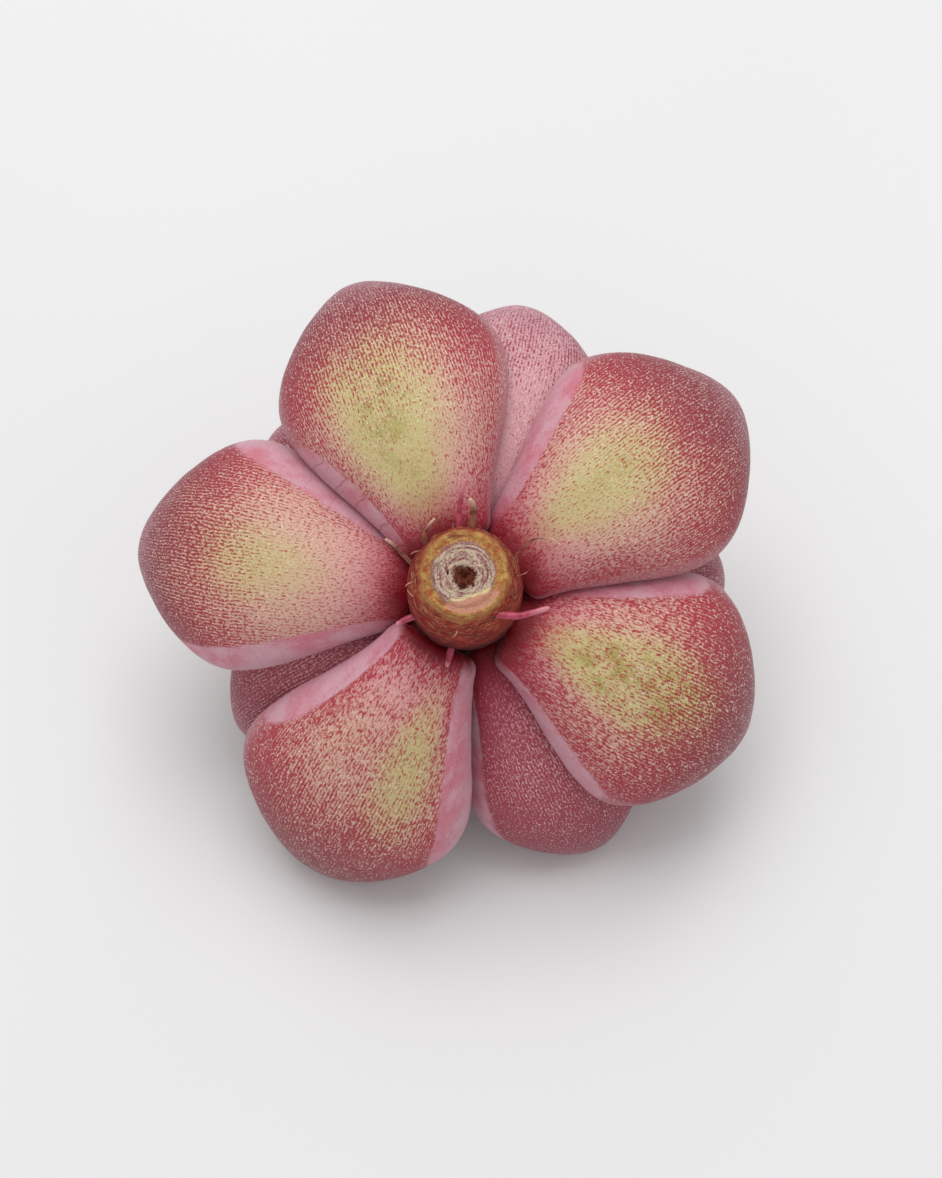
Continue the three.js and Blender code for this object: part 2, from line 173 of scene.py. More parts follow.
class Shader:
    """The nodes of a material or a world, under construction."""

    COLOUR_MIX = {"data_type": "RGBA", "blend_type": "MIX"}

    def __init__(self, owner: "bpy.types.Material | bpy.types.World") -> None:
        """Empties the nodes of a new material or world.

        Args:
            owner: The material or world.
        """
        self.owner = owner
        owner.use_nodes = True
        self.tree = owner.node_tree
        self.tree.nodes.clear()

    def node(
        self, kind: str, settings: dict | None = None, inputs: dict | None = None
    ) -> bpy.types.Node:
        """Adds a node.

        Args:
            kind: The node's type.
            settings: Its settings, which are set first.
            inputs: Values or links of its sockets, by name or number.

        Returns:
            The node.
        """
        made = self.tree.nodes.new(kind)
        for key, setting in (settings or {}).items():
            setattr(made, key, setting)
        for key, given in (inputs or {}).items():
            socket = made.inputs[key]
            if isinstance(given, Value):
                self.tree.links.new(given.socket, socket)
            elif isinstance(given, tuple) and len(given) == 3 and socket.type == "RGBA":
                socket.default_value = (*given, 1.0)
            else:
                socket.default_value = given
        return made

    def value(self, kind: str, settings: dict, inputs: dict, output: int | str = 0) -> Value:
        """Adds a node and gives one of its outputs."""
        return Value(self, self.node(kind, settings, inputs).outputs[output])

    def parts(self, vector: Value) -> tuple[Value, Value, Value]:
        """Splits a vector into its three numbers."""
        made = self.node("ShaderNodeSeparateXYZ", {}, {0: vector})
        return tuple(Value(self, socket) for socket in made.outputs)

    def attribute(self, name: str) -> tuple[Value, Value, Value]:
        """Gives the three numbers of a piece's own vector attribute."""
        read = self.value("ShaderNodeAttribute", {"attribute_name": name}, {}, "Vector")
        return self.parts(read)

    def point(self) -> Value:
        """Gives the place of a point in the piece's own coordinates."""
        return self.value("ShaderNodeTexCoord", {}, {}, "Object")

    def vector(self, x: Value | float, y: Value | float, z: Value | float) -> Value:
        """Joins three numbers."""
        return self.value("ShaderNodeCombineXYZ", {}, {0: x, 1: y, 2: z})

    def scaled(self, vector: Value, scale: float) -> Value:
        """Scales a vector."""
        return self.value("ShaderNodeVectorMath", {"operation": "SCALE"}, {0: vector, 3: scale})

    def noise(
        self, at: Value, scale: float = 1.0, detail: float = 2.0, rough: float = 0.5
    ) -> Value:
        """Gives soft noise from 0 to 1.

        Args:
            at: Where it is read.
            scale: Bumps for each unit.
            detail: How many finer layers are added.
            rough: How strong they are.

        Returns:
            The noise.
        """
        inputs = {"Vector": at, "Scale": scale, "Detail": detail, "Roughness": rough}
        return self.value("ShaderNodeTexNoise", {}, inputs)

    def cells(self, at: Value, scale: float) -> Value:
        """Gives the distance to the nearest of a field of scattered points."""
        return self.value("ShaderNodeTexVoronoi", {}, {"Vector": at, "Scale": scale}, "Distance")

    def mix(self, share: Value | float, low: Value | Colour, high: Value | Colour) -> Value:
        """Mixes two colours."""
        return self.value("ShaderNodeMix", self.COLOUR_MIX, {0: share, 6: low, 7: high}, 2)

    def bump(self, height: Value, depth: float, strength: float = 1.0) -> Value:
        """Gives the normal of a relief.

        Args:
            height: The relief, from 0 to 1.
            depth: Its depth in metres.
            strength: How much of it is used.

        Returns:
            The normal.
        """
        inputs = {"Height": height, "Distance": depth, "Strength": strength}
        return self.value("ShaderNodeBump", {}, inputs)

    def surface(self, inputs: dict) -> bpy.types.Material:
        """Ends the material with a Principled shader.

        Args:
            inputs: The shader's own values and links.

        Returns:
            The material.
        """
        made = self.value("ShaderNodeBsdfPrincipled", {}, inputs)
        self.node("ShaderNodeOutputMaterial", {}, {"Surface": made})
        return self.owner


# ---- Finishes -----------------------------------------------------------------------------------


@dataclass(frozen=True)
class LeafFinish:
    """The skin of a leaf: ground colours, rows of speckles, waxy dust and painted light and shade.

    Reads four attributes: leaf_grid, the distances along and across the leaf and the leaf's own
    number; leaf_place, the shares along and across and how far a point is on the underside;
    leaf_marks, the strength of the green patch, the smooth band and its creases; and leaf_tone,
    the extra inking of the speckles, which also darkens shaded leaves and lightens a thin one as
    painted shade and light, the reddening at the stem, which is partly painted shade, and the
    distance from the stem's axis.
    """

    name: str
    foot: Colour = rgb(226, 166, 166)
    cream: Colour = rgb(220, 178, 158)
    patch: Colour = rgb(206, 192, 132)
    patch_deep: Colour = rgb(168, 164, 84)
    patch_pale: Colour = rgb(218, 212, 160)
    rose: Colour = rgb(204, 146, 148)
    band: Colour = rgb(214, 130, 148)
    band_pale: Colour = rgb(220, 174, 188)
    speckle: Colour = rgb(172, 14, 50)
    speckle_far: Colour = rgb(122, 22, 42)
    throat_and_shade: Colour = rgb(126, 0, 18)
    bloom_and_sheen: Colour = rgb(200, 160, 172)
    face: Colour = rgb(186, 160, 138)
    face_tip: Colour = rgb(190, 126, 130)
    dirt: Colour = rgb(60, 40, 32)
    glint: Colour = rgb(244, 228, 212)
    thin: float = 0.33
    thick: float = 0.67
    contrast: float = 1.0
    row: float = 0.37

    def material(self) -> bpy.types.Material:
        """Builds the material.

        Returns:
            The material.
        """
        s = Shader(bpy.data.materials.new(self.name))
        along_mm, across_mm, number = s.attribute("leaf_grid")
        along, across, side = s.attribute("leaf_place")
        patch, band, crease = s.attribute("leaf_marks")
        ink_and_shading, stem_blush_and_shade, out_mm = s.attribute("leaf_tone")
        off_middle = abs(across)

        broad = s.noise(s.vector(across_mm * 0.22, along_mm * 0.16, number), 1.0, 3.0, 0.55)
        blotch = s.noise(s.vector(across_mm * 0.7, along_mm * 0.45, number + 5.0), 1.0, 3.0, 0.6)
        sway = s.noise(s.vector(across_mm * 0.3, along_mm * 0.2, number + 9.0), 1.0, 1.0)
        jog = s.noise(s.vector(across_mm * 1.4, along_mm * 0.9, number + 4.0), 1.0, 1.0)
        streak = s.noise(s.vector(across_mm * 4.5, along_mm * 2.8, number), 1.0, 2.5, 0.6)
        grit = s.noise(s.vector(across_mm * 7.0, along_mm * 4.4, number + 2.0), 1.0, 1.0)
        lane = (across_mm / self.row) + sway * 1.6 + jog * 0.7
        rows = (lane * (2 * math.pi)).sine() * (along.rise(0.2, 0.6) * 0.11 + 0.05)
        pattern = rows + (streak - 0.5) * 1.6 + 0.5 + (grit - 0.5) * 0.35

        ground = s.mix(along.rise(0.1, 0.32), self.foot, self.cream)
        green = (patch + (broad - 0.5) * 0.55 * patch.rise(0.05, 0.5)).at_most(1.0)
        ground = s.mix(green.rise(0.05, 0.85), ground, self.patch)
        ground = s.mix(grit.rise(0.46, 0.62) * green * 0.5, ground, self.patch_pale)
        ground = s.mix(green.rise(0.7, 1.1) * blotch.rise(0.42, 0.62), ground, self.patch_deep)
        far = (along + (broad - 0.5) * 0.3).rise(0.55, 0.9)
        edge = (off_middle + (broad - 0.5) * 0.4).rise(0.45, 1.0)
        rosy = (far + edge * 0.7).at_most(1.0)
        ground = s.mix(rosy, ground, self.rose)

        filled = along.rise(0.36, 0.72) * (self.thick - self.thin) + self.thin
        filled = filled + off_middle.rise(0.35, 0.95) * 0.16 + (broad - 0.5) * 0.3
        filled = filled + out_mm.rise(10.5, 7.5) * 0.16 - green.rise(0.1, 0.9) * 0.1
        # The leaf's extra inking: denser speckles, and also painted shade on the lower leaves and
        # painted light on the thin second leaf.
        filled = filled + ink_and_shading
        cut = 1.0 - filled
        speckled = pattern.rise(cut - 0.2, cut + 0.2) * self.contrast
        inked = s.mix(along.rise(0.45, 0.9), self.speckle, self.speckle_far)
        skin = s.mix(speckled * 0.92, ground, inked)
        skin = s.mix(grit.rise(0.5, 0.66) * 0.3 * self.contrast, skin, inked)

        smooth = (band + (blotch - 0.5) * 0.35 * band.rise(0.0, 0.4)).rise(0.25, 0.62)
        banded = s.mix(broad.rise(0.36, 0.64), self.band, self.band_pale)
        banded = s.mix(blotch.rise(0.5, 0.64) * 0.55, banded, self.band_pale)
        banded = s.mix(grit.rise(0.5, 0.75) * blotch.rise(0.56, 0.4) * 0.4, banded, self.speckle)
        skin = s.mix(smooth * 0.86, skin, banded)
        ripple = abs((along_mm * (2 * math.pi / 5.4) + sway * 3.0).sine())
        creased = ripple.rise(0.12, 0.0) * crease
        # Painted shade: the creases across the smooth band are darkened with the speckle colour,
        # besides being sunk in the relief.
        skin = s.mix(creased * smooth * 0.45, skin, self.speckle)
        # The leaves redden, then turn dark crimson towards the stem: their own red base, with
        # painted shade where the stem and neighbouring leaves crowd it.
        near = out_mm + (blotch - 0.5) * 2.0
        skin = s.mix(near.rise(13.0, 7.2) * stem_blush_and_shade * 0.55, skin, self.speckle)
        skin = s.mix(near.rise(stem_blush_and_shade * 1.6 + 7.7, 6.3), skin, self.throat_and_shade)

        dusted = (along + (blotch - 0.5) * 0.25).rise(0.76, 1.02) * 0.42
        # Wax dusts the tip; the pale margins, where the leaf turns away at its outline, are
        # painted sheen.
        rim = off_middle.rise(0.88, 1.0) * 0.36
        skin = s.mix((dusted + rim + (broad - 0.42) * 0.16).at_least(0.0), skin, self.bloom_and_sheen)
        # Painted highlights: pale glints on the skin's cells, set into the colour.
        spark = s.noise(s.vector(across_mm * 6.0, along_mm * 4.0, number + 7.0), 1.0, 1.0)
        lit = spark.rise(0.6, 0.72) * (1.0 - smooth) * along.rise(0.15, 0.4)
        skin = s.mix(lit * 0.7, skin, self.glint)
        underneath = s.mix(along.rise(0.35, 0.95), self.face, self.face_tip)
        underneath = s.mix(blotch.rise(0.4, 0.7) * 0.4, underneath, self.bloom_and_sheen)
        skin = s.mix(side.rise(-0.1, -0.6), skin, underneath)
        skin = s.mix(along.rise(0.985, 1.012) * 0.75, skin, self.dirt)
        specks = s.cells(s.vector(across_mm, along_mm, number * 3.0), 0.17)
        skin = s.mix(specks.rise(0.026, 0.012) * 0.85, skin, self.dirt)

        relief = pattern * 0.55 + spark * 0.3 + blotch * 0.6
        relief = relief - creased * smooth * 0.7
        rough = 0.47 + (blotch - 0.5) * 0.25 - lit * 0.15 + dusted * 0.2
        return s.surface(
            {
                "Base Color": skin,
                "Roughness": rough,
                "Normal": s.bump(relief, 0.00012, 0.8),
                "IOR": 1.36,
                "Subsurface Weight": 0.05,
                "Subsurface Radius": (1.0, 0.35, 0.25),
                "Subsurface Scale": 0.0009,
                "Sheen Weight": 0.09,
                "Sheen Roughness": 0.4,
                "Sheen Tint": (0.86, 0.8, 0.9, 1.0),
            }
        )


@dataclass(frozen=True)
class StemFinish:
    """Bark with papery scars and painted shade low down, and the woody rings of the cut face.

    Reads stem_place: the height over the lowest leaf, the distance from the middle of the stem,
    and how far a point lies on the cut face.
    """

    name: str = "scarred bark and cut wood"
    bark: Colour = rgb(146, 18, 20)
    bark_dark_and_shade: Colour = rgb(66, 4, 6)
    bark_orange: Colour = rgb(184, 60, 36)
    paper: Colour = rgb(220, 172, 122)
    cortex: Colour = rgb(206, 164, 92)
    cortex_green: Colour = rgb(186, 130, 74)
    wood: Colour = rgb(222, 200, 174)
    wood_grey: Colour = rgb(160, 114, 116)
    wood_brown: Colour = rgb(138, 64, 42)
    pith: Colour = rgb(84, 22, 14)
    salmon: Colour = rgb(214, 150, 124)
    lip: Colour = rgb(236, 214, 160)

    def material(self) -> bpy.types.Material:
        """Builds the material.

        Returns:
            The material.
        """
        s = Shader(bpy.data.materials.new(self.name))
        height, out, on_cut = s.attribute("stem_place")
        turn_x, turn_y, _ = s.attribute("stem_turn")
        patches = s.noise(s.vector(turn_x * 2.0, turn_y * 2.0, height * 0.6), 1.0, 3.0, 0.6)
        shreds = s.noise(s.vector(turn_x * 6.0, turn_y * 6.0, height * 9.0), 1.0, 3.0, 0.7)
        hoops = s.noise(s.vector(turn_x * 1.1, turn_y * 1.1, height * 2.6), 1.0, 3.0, 0.62)
        lines = s.noise(s.vector(turn_x * 1.9, turn_y * 1.9, height * 9.0), 1.0, 3.0, 0.66)

        bark = s.mix((patches + height * 0.02).rise(0.6, 0.8) * 0.8, self.bark, self.bark_orange)
        bark = s.mix(height.rise(7.6, 9.6) * 0.4, bark, self.bark_orange)
        bark = s.mix(hoops.rise(0.48, 0.34) * 0.8, bark, self.bark_dark_and_shade)
        bark = s.mix(lines.rise(0.55, 0.68) * 0.45, bark, self.bark_orange)
        bark = s.mix(lines.rise(0.45, 0.35) * 0.6, bark, self.bark_dark_and_shade)
        torn = height.rise(5.5, 9.5) * 0.6 + 0.2
        bark = s.mix(shreds.rise(0.54, 0.62) * torn, bark, self.paper)
        # Painted shade: the bark darkens low on the stem, next to the leaves and round its
        # outline.
        bark = s.mix(height.rise(6.4, 4.0) * 0.9, bark, self.bark_dark_and_shade)

        x, y = turn_x * out, turn_y * out
        flat = s.vector(x, y, 0.0)
        grain = s.noise(flat, 0.9, 3.0, 0.6)
        fine = s.noise(flat, 4.6, 3.0, 0.75)
        crumbs = s.noise(s.vector(x, y, 7.0), 2.2, 4.0, 0.75)
        arcs = s.noise(s.vector(turn_x * 1.7, turn_y * 1.7, out * 4.2), 1.0, 3.0, 0.7)
        wood = s.mix(arcs.rise(0.4, 0.58), self.wood_grey, self.wood)
        wood = s.mix(fine.rise(0.5, 0.6) * 0.65, wood, self.wood_brown)
        wood = s.mix(arcs.rise(0.42, 0.34) * 0.6, wood, self.wood_brown)
        wood = s.mix(fine.rise(0.44, 0.34) * 0.6, wood, self.wood)
        low = turn_x * 0.28 - turn_y * 0.96
        crescent = low.rise(0.62, 0.74)
        step = out + (low - 1.0) * 2.4 + (grain - 0.5) * 0.7
        lip = step.rise(2.0, 2.12) * step.rise(2.5, 2.36) * crescent
        wood = s.mix(lip * 0.9, wood, self.lip)
        low_y = y + 0.3
        heart = x * x + low_y * low_y + (crumbs - 0.5) * 3.4
        crumbled = s.mix(crumbs.rise(0.42, 0.6), self.pith, self.wood_brown)
        crumbled = s.mix(fine.rise(0.54, 0.66) * 0.4, crumbled, self.cortex)
        wood = s.mix(heart.rise(1.5, 1.0), wood, crumbled)
        hole_x, hole_y = x + 0.2, y + 1.15
        hole = hole_x * hole_x + hole_y * hole_y + (fine - 0.5) * 0.3
        wood = s.mix(hole.rise(0.2, 0.08), wood, self.pith)
        pit_x, pit_y = x * 2.2 + 3.6, y - 0.1
        pit = (pit_x * pit_x + pit_y * pit_y).rise(0.09, 0.05)
        wood = s.mix(pit, wood, self.bark_dark_and_shade)
        salmon = s.mix(fine.rise(0.5, 0.7) * 0.5, self.salmon, self.wood)
        inside = (out + (fine - 0.5) * 0.5).rise(3.95, 3.75)
        husk = s.mix(grain.rise(0.42, 0.6), self.cortex_green, self.cortex)
        husk = s.mix(shreds.rise(0.46, 0.62) * 0.7, husk, self.bark_orange)
        husk = s.mix(fine.rise(0.55, 0.66) * 0.7, husk, self.paper)
        husk = s.mix(lines.rise(0.44, 0.34) * 0.7, husk, self.wood_brown)
        ragged = out + (grain - 0.5) * 1.1 + turn_x * 0.12
        top = s.mix(ragged.rise(3.0, 3.16), wood, husk)
        seam = abs(ragged - 3.08).rise(0.2, 0.06)
        top = s.mix(seam * 0.6, top, self.wood_grey)
        top = s.mix(step.rise(2.36, 2.5) * crescent * inside, top, salmon)
        rim = (height + (patches - 0.5) * 2.4 + (shreds - 0.5) * 2.0).rise(9.5, 10.2)
        skin = s.mix(rim * 0.9, bark, husk)
        skin = s.mix((on_cut + (shreds - 0.5) * 0.5).rise(0.35, 0.65), skin, top)

        relief = shreds * 0.5 + lines * 0.9 + hoops * 0.4 + arcs * on_cut * 0.5 + fine * 0.35
        relief = relief + crumbs * heart.rise(1.5, 1.0) * on_cut
        return s.surface(
            {
                "Base Color": skin,
                "Roughness": 0.46 + (shreds - 0.5) * 0.4 + on_cut * 0.16,
                "Normal": s.bump(relief, 0.0004, 0.9),
                "IOR": 1.33,
            }
        )


@dataclass(frozen=True)
class RootFinish:
    """The skin of a rootlet, live and pink or dried and brown."""

    name: str
    body: Colour
    shade: Colour
    tip: Colour
    gloss: float

    def material(self) -> bpy.types.Material:
        """Builds the material. Reads root_place: the share along the root and its number.

        Returns:
            The material.
        """
        s = Shader(bpy.data.materials.new(self.name))
        along, _, number = s.attribute("root_place")
        at = s.scaled(s.point(), 1000.0)
        grain = s.noise(at, 2.6, 3.0, 0.6)
        fine = s.noise(at, 9.0, 2.0, 0.6)
        tone = (grain + s.noise(s.vector(along * 7.0, number, 0.0), 1.0, 1.0)) * 0.5
        skin = s.mix(tone.rise(0.4, 0.62), self.body, self.shade)
        skin = s.mix(along.rise(0.45, 0.95), skin, self.tip)
        skin = s.mix(fine.rise(0.62, 0.76) * 0.4, skin, self.tip)
        return s.surface(
            {
                "Base Color": skin,
                "Roughness": (grain - 0.5) * 0.3 + self.gloss,
                "Normal": s.bump(grain * 0.6 + fine * 0.4, 0.00008, 0.8),
            }
        )


@dataclass(frozen=True)
class FloorFinish:
    """A plain pale studio floor."""

    name: str = "studio floor"
    pale: Colour = (0.86, 0.86, 0.865)
    dull: Colour = (0.835, 0.835, 0.84)

    def material(self) -> bpy.types.Material:
        """Builds the material.

        Returns:
            The material.
        """
        s = Shader(bpy.data.materials.new(self.name))
        cloud = s.noise(s.point(), 7.0, 2.0, 0.5)
        return s.surface(
            {
                "Base Color": s.mix(cloud.rise(0.35, 0.7), self.pale, self.dull),
                "Roughness": 0.7 + (cloud - 0.5) * 0.1,
                "Specular IOR Level": 0.15,
            }
        )


# ---- Modelling helpers --------------------------------------------------------------------------


def select_only(piece: bpy.types.Object) -> None:
    """Makes one object the only one selected, and the active one.

    Args:
        piece: The object.
    """
    bpy.ops.object.select_all(action="DESELECT")
    piece.select_set(True)
    bpy.context.view_layer.objects.active = piece


def apply_modifier(piece: bpy.types.Object, kind: str, settings: dict) -> None:
    """Adds a modifier to a piece and applies it.

    Args:
        piece: The piece.
        kind: The modifier's type.
        settings: The modifier's settings.
    """
    select_only(piece)
    made = piece.modifiers.new(kind.lower(), kind)
    for key, setting in settings.items():
        setattr(made, key, setting)
    bpy.ops.object.modifier_apply(modifier=made.name)


def roughen(piece: bpy.types.Object, grain_mm: float, depth_mm: float) -> None:
    """Makes a piece's surface uneven.

    Args:
        piece: The piece.
        grain_mm: The size of the bumps.
        depth_mm: Their height.
    """
    texture = bpy.data.textures.new(f"{piece.name}_uneven", "CLOUDS")
    texture.noise_scale = grain_mm * MM
    texture.noise_depth = 2
    settings = {"texture": texture, "texture_coords": "LOCAL", "strength": depth_mm * MM}
    apply_modifier(piece, "DISPLACE", settings)


def smooth_shaded(piece: bpy.types.Object) -> None:
    """Shades a piece smooth."""
    select_only(piece)
    bpy.ops.object.shade_smooth()


def points_of(piece: bpy.types.Object) -> np.ndarray:
    """Gives the places of a piece's vertices, one in each row.

    Args:
        piece: The piece.

    Returns:
        The places, in the piece's own coordinates.
    """
    flat = np.empty(len(piece.data.vertices) * 3)
    piece.data.vertices.foreach_get("co", flat)
    return flat.reshape(-1, 3)


def write_vectors(piece: bpy.types.Object, name: str, rows: np.ndarray) -> None:
    """Stores three numbers for each vertex under a name.

    Args:
        piece: The piece.
        name: The attribute's name.
        rows: The three numbers of each vertex, one vertex in each row.
    """
    made = piece.data.attributes.get(name) or piece.data.attributes.new(
        name, "FLOAT_VECTOR", "POINT"
    )
    made.data.foreach_set("vector", np.ascontiguousarray(rows, np.float32).ravel())


def read_vectors(piece: bpy.types.Object, name: str) -> np.ndarray:
    """Reads the three numbers that each vertex has under a name.

    Args:
        piece: The piece.
        name: The attribute's name.

    Returns:
        The numbers, one vertex in each row.
    """
    flat = np.empty(len(piece.data.vertices) * 3, np.float32)
    piece.data.attributes[name].data.foreach_get("vector", flat)
    return flat.reshape(-1, 3).astype(float)


def merged_copy(node: str, in_quads: bool = False) -> bpy.types.Object:
    """Copies a CAD node and joins its loose triangles.

    Args:
        node: The node's name.
        in_quads: Whether pairs of triangles become four-sided faces.

    Returns:
        The copy.
    """
    piece = bpy.data.objects.new(f"{node}_skin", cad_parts[node].data.copy())
    bpy.context.scene.collection.objects.link(piece)
    select_only(piece)
    bpy.ops.object.mode_set(mode="EDIT")
    bpy.ops.mesh.select_all(action="SELECT")
    bpy.ops.mesh.remove_doubles(threshold=MERGE_M)
    if in_quads:
        bpy.ops.mesh.tris_convert_to_quads()
    bpy.ops.object.mode_set(mode="OBJECT")
    return piece


def hand_over(piece: bpy.types.Object, slot: str, *nodes: str) -> None:
    """Ties a finished piece to the frame.

    Args:
        piece: The piece.
        slot: The record's material slot. Not used.
        *nodes: The CAD nodes that it stands for.
    """
    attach(piece, BODY)
    if nodes:
        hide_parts(*nodes)
    LOG.info("%s: %d faces", piece.name, len(piece.data.polygons))


@dataclass(frozen=True)
class PlantFrame:
    """The rosette's own frame: z runs out of the cut stem, and the lowest leaf joins at 0."""

    tilt: float = 28.0
    core: float = 15.0

    @property
    def axis(self) -> Vector:
        """The direction out of the cut stem."""
        lean = math.radians(self.tilt)
        return Vector((0.0, -math.sin(lean), math.cos(lean)))

    @property
    def crown(self) -> Vector:
        """The point on the axis at the height of the lowest leaf.

        Returns:
            The point, in metres.
        """
        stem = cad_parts["stem"].data.vertices
        lowest = min((v.co for v in stem), key=lambda co: co.dot(self.axis))
        return lowest + self.axis * self.core * MM

    @property
    def matrix(self) -> Matrix:
        """Turns millimetres in this frame into metres in the frame of the CAD."""
        turned = Matrix.Rotation(math.radians(self.tilt), 4, "X")
        return Matrix.Translation(self.crown) @ turned @ Matrix.Scale(MM, 4)


class SkinGrid:
    """The rings and spokes of a CAD skin, found again in a merged copy of its mesh."""

    def __init__(self, mesh: bpy.types.Mesh, crown: Vector) -> None:
        """Finds the grid.

        Args:
            mesh: The merged mesh, of triangles.
            crown: The point that the closed start of the skin lies nearest to.
        """
        near: dict[int, set[int]] = {v.index: set() for v in mesh.vertices}
        for edge in mesh.edges:
            a, b = edge.vertices
            near[a].add(b)
            near[b].add(a)
        most = max(len(found) for found in near.values())
        poles = [k for k, found in near.items() if len(found) == most]
        poles.sort(key=lambda k: (mesh.vertices[k].co - crown).length)
        self.start, self.tip = poles[0], poles[-1]
        follow: dict[int, int] = {}
        for face in mesh.polygons:
            corners = list(face.vertices)
            if self.tip in corners:
                at = corners.index(self.tip)
                follow[corners[(at + 1) % 3]] = corners[(at + 2) % 3]
        first = min(follow)
        ring = [first]
        while follow[ring[-1]] != first:
            ring.append(follow[ring[-1]])
        rings = [ring]
        seen = {self.tip, *ring}
        while True:
            ring = rings[-1]
            found = [near[a] & near[b] - seen for a, b in zip(ring, ring[1:] + ring[:1])]
            if any(len(one) != 1 for one in found) or self.start in found[0]:
                break
            rings.append([next(iter(one)) for one in found])
            seen.update(rings[-1])
        self.rings = rings[::-1]
        self.spokes = len(self.rings[0])
        expected = self.spokes * len(self.rings) + 2
        if expected != len(mesh.vertices) or self.spokes < 3:
            raise RuntimeError(f"{mesh.name} has {len(mesh.vertices)} points, not {expected}")

    def turn_to(self, shift: int) -> None:
        """Makes another spoke the first."""
        self.rings = [ring[shift:] + ring[:shift] for ring in self.rings]


# ---- Leaves -------------------------------------------------------------------------------------


class Side(Enum):
    """The margins of a leaf, seen with the cut stem towards the eye."""

    LEFT = 1.0
    RIGHT = -1.0


@dataclass(frozen=True)
class Band:
    """A smooth pale band along a margin, where a neighbour once pressed."""

    side: Side
    width: float
    reach: float
    strength: float = 1.0
    start: float = -0.2


@dataclass(frozen=True)
class LeafMarks:
    """What sets one leaf's skin apart: its green patch, its smooth bands and their creases."""

    patch: float = 0.0
    middle: tuple[float, float] = (0.44, 0.0)
    spread: tuple[float, float] = (0.2, 0.5)
    bands: tuple[Band, ...] = ()
    creases: float = 0.0
    ink_and_shading: float = 0.0
    stem_blush_and_shade: float = 1.0

    def paint(self, place: np.ndarray) -> np.ndarray:
        """Works out the marks.

        Args:
            place: The share along, the share across and the underside of each point.

        Returns:
            The patch, the band and the creases of each point.
        """
        along, across, _ = place.T
        away = ((along - self.middle[0]) / self.spread[0]) ** 2
        away += ((across - self.middle[1]) / self.spread[1]) ** 2
        patch = self.patch * np.exp(-(away**1.3))
        band = np.zeros(len(place))
        for one in self.bands:
            share = np.clip((along - one.start) / (one.reach - one.start), 0, 1)
            inner = 1 - one.width * np.sqrt(1 - share**2)
            there = smoothstep(-0.1, 0.06, across * one.side.value - inner)
            ends = 1 - smoothstep(one.reach - 0.12, one.reach + 0.05, along)
            band = np.maximum(band, there * ends * one.strength)
        return np.column_stack([patch, band, np.full(len(place), self.creases)])


L, R = Side.LEFT, Side.RIGHT
# Some leaves' extra inking and reddening also carry painted shade: lower leaves are darkened, and
# the thin second leaf is lightened as painted light.
MARKS = {
    "outer_leaf_1": LeafMarks(0.96, (0.4, 0.12), (0.34, 0.56), (Band(L, 0.22, 0.5),), 1.0),
    "outer_leaf_2": LeafMarks(
        0.72,
        (0.35, 0.34),
        (0.26, 0.36),
        (Band(R, 0.26, 0.5), Band(L, 0.3, 0.75)),
        0.25,
        ink_and_shading=0.1,
        stem_blush_and_shade=0.3,
    ),
    "outer_leaf_3": LeafMarks(0.84, (0.36, 0.1), (0.26, 0.46), (Band(L, 0.24, 0.62),), ink_and_shading=0.03),
    "outer_leaf_4": LeafMarks(
        0.66, (0.46, 0.0), (0.22, 0.4), (Band(L, 0.26, 0.8), Band(R, 0.3, 0.7)), 0.3
    ),
    "outer_leaf_5": LeafMarks(
        1.25,
        (0.4, 0.0),
        (0.32, 0.4),
        (Band(L, 0.28, 0.6), Band(R, 0.13, 0.6)),
        ink_and_shading=0.12,
        stem_blush_and_shade=0.9,
    ),
    "second_leaf_1": LeafMarks(
        0.12, (0.35, 0.0), (0.25, 0.5), (Band(L, 0.3, 0.8, 0.7),), ink_and_shading=-0.2, stem_blush_and_shade=0.2
    ),
    "second_leaf_2": LeafMarks(0.08, (0.4, 0.0), (0.2, 0.4), ink_and_shading=0.14),
    "second_leaf_3": LeafMarks(ink_and_shading=0.1),
    "second_leaf_4": LeafMarks(ink_and_shading=0.06),
    "second_leaf_5": LeafMarks(0.0, bands=(Band(R, 0.2, 0.8, 0.8),), ink_and_shading=0.2),
}


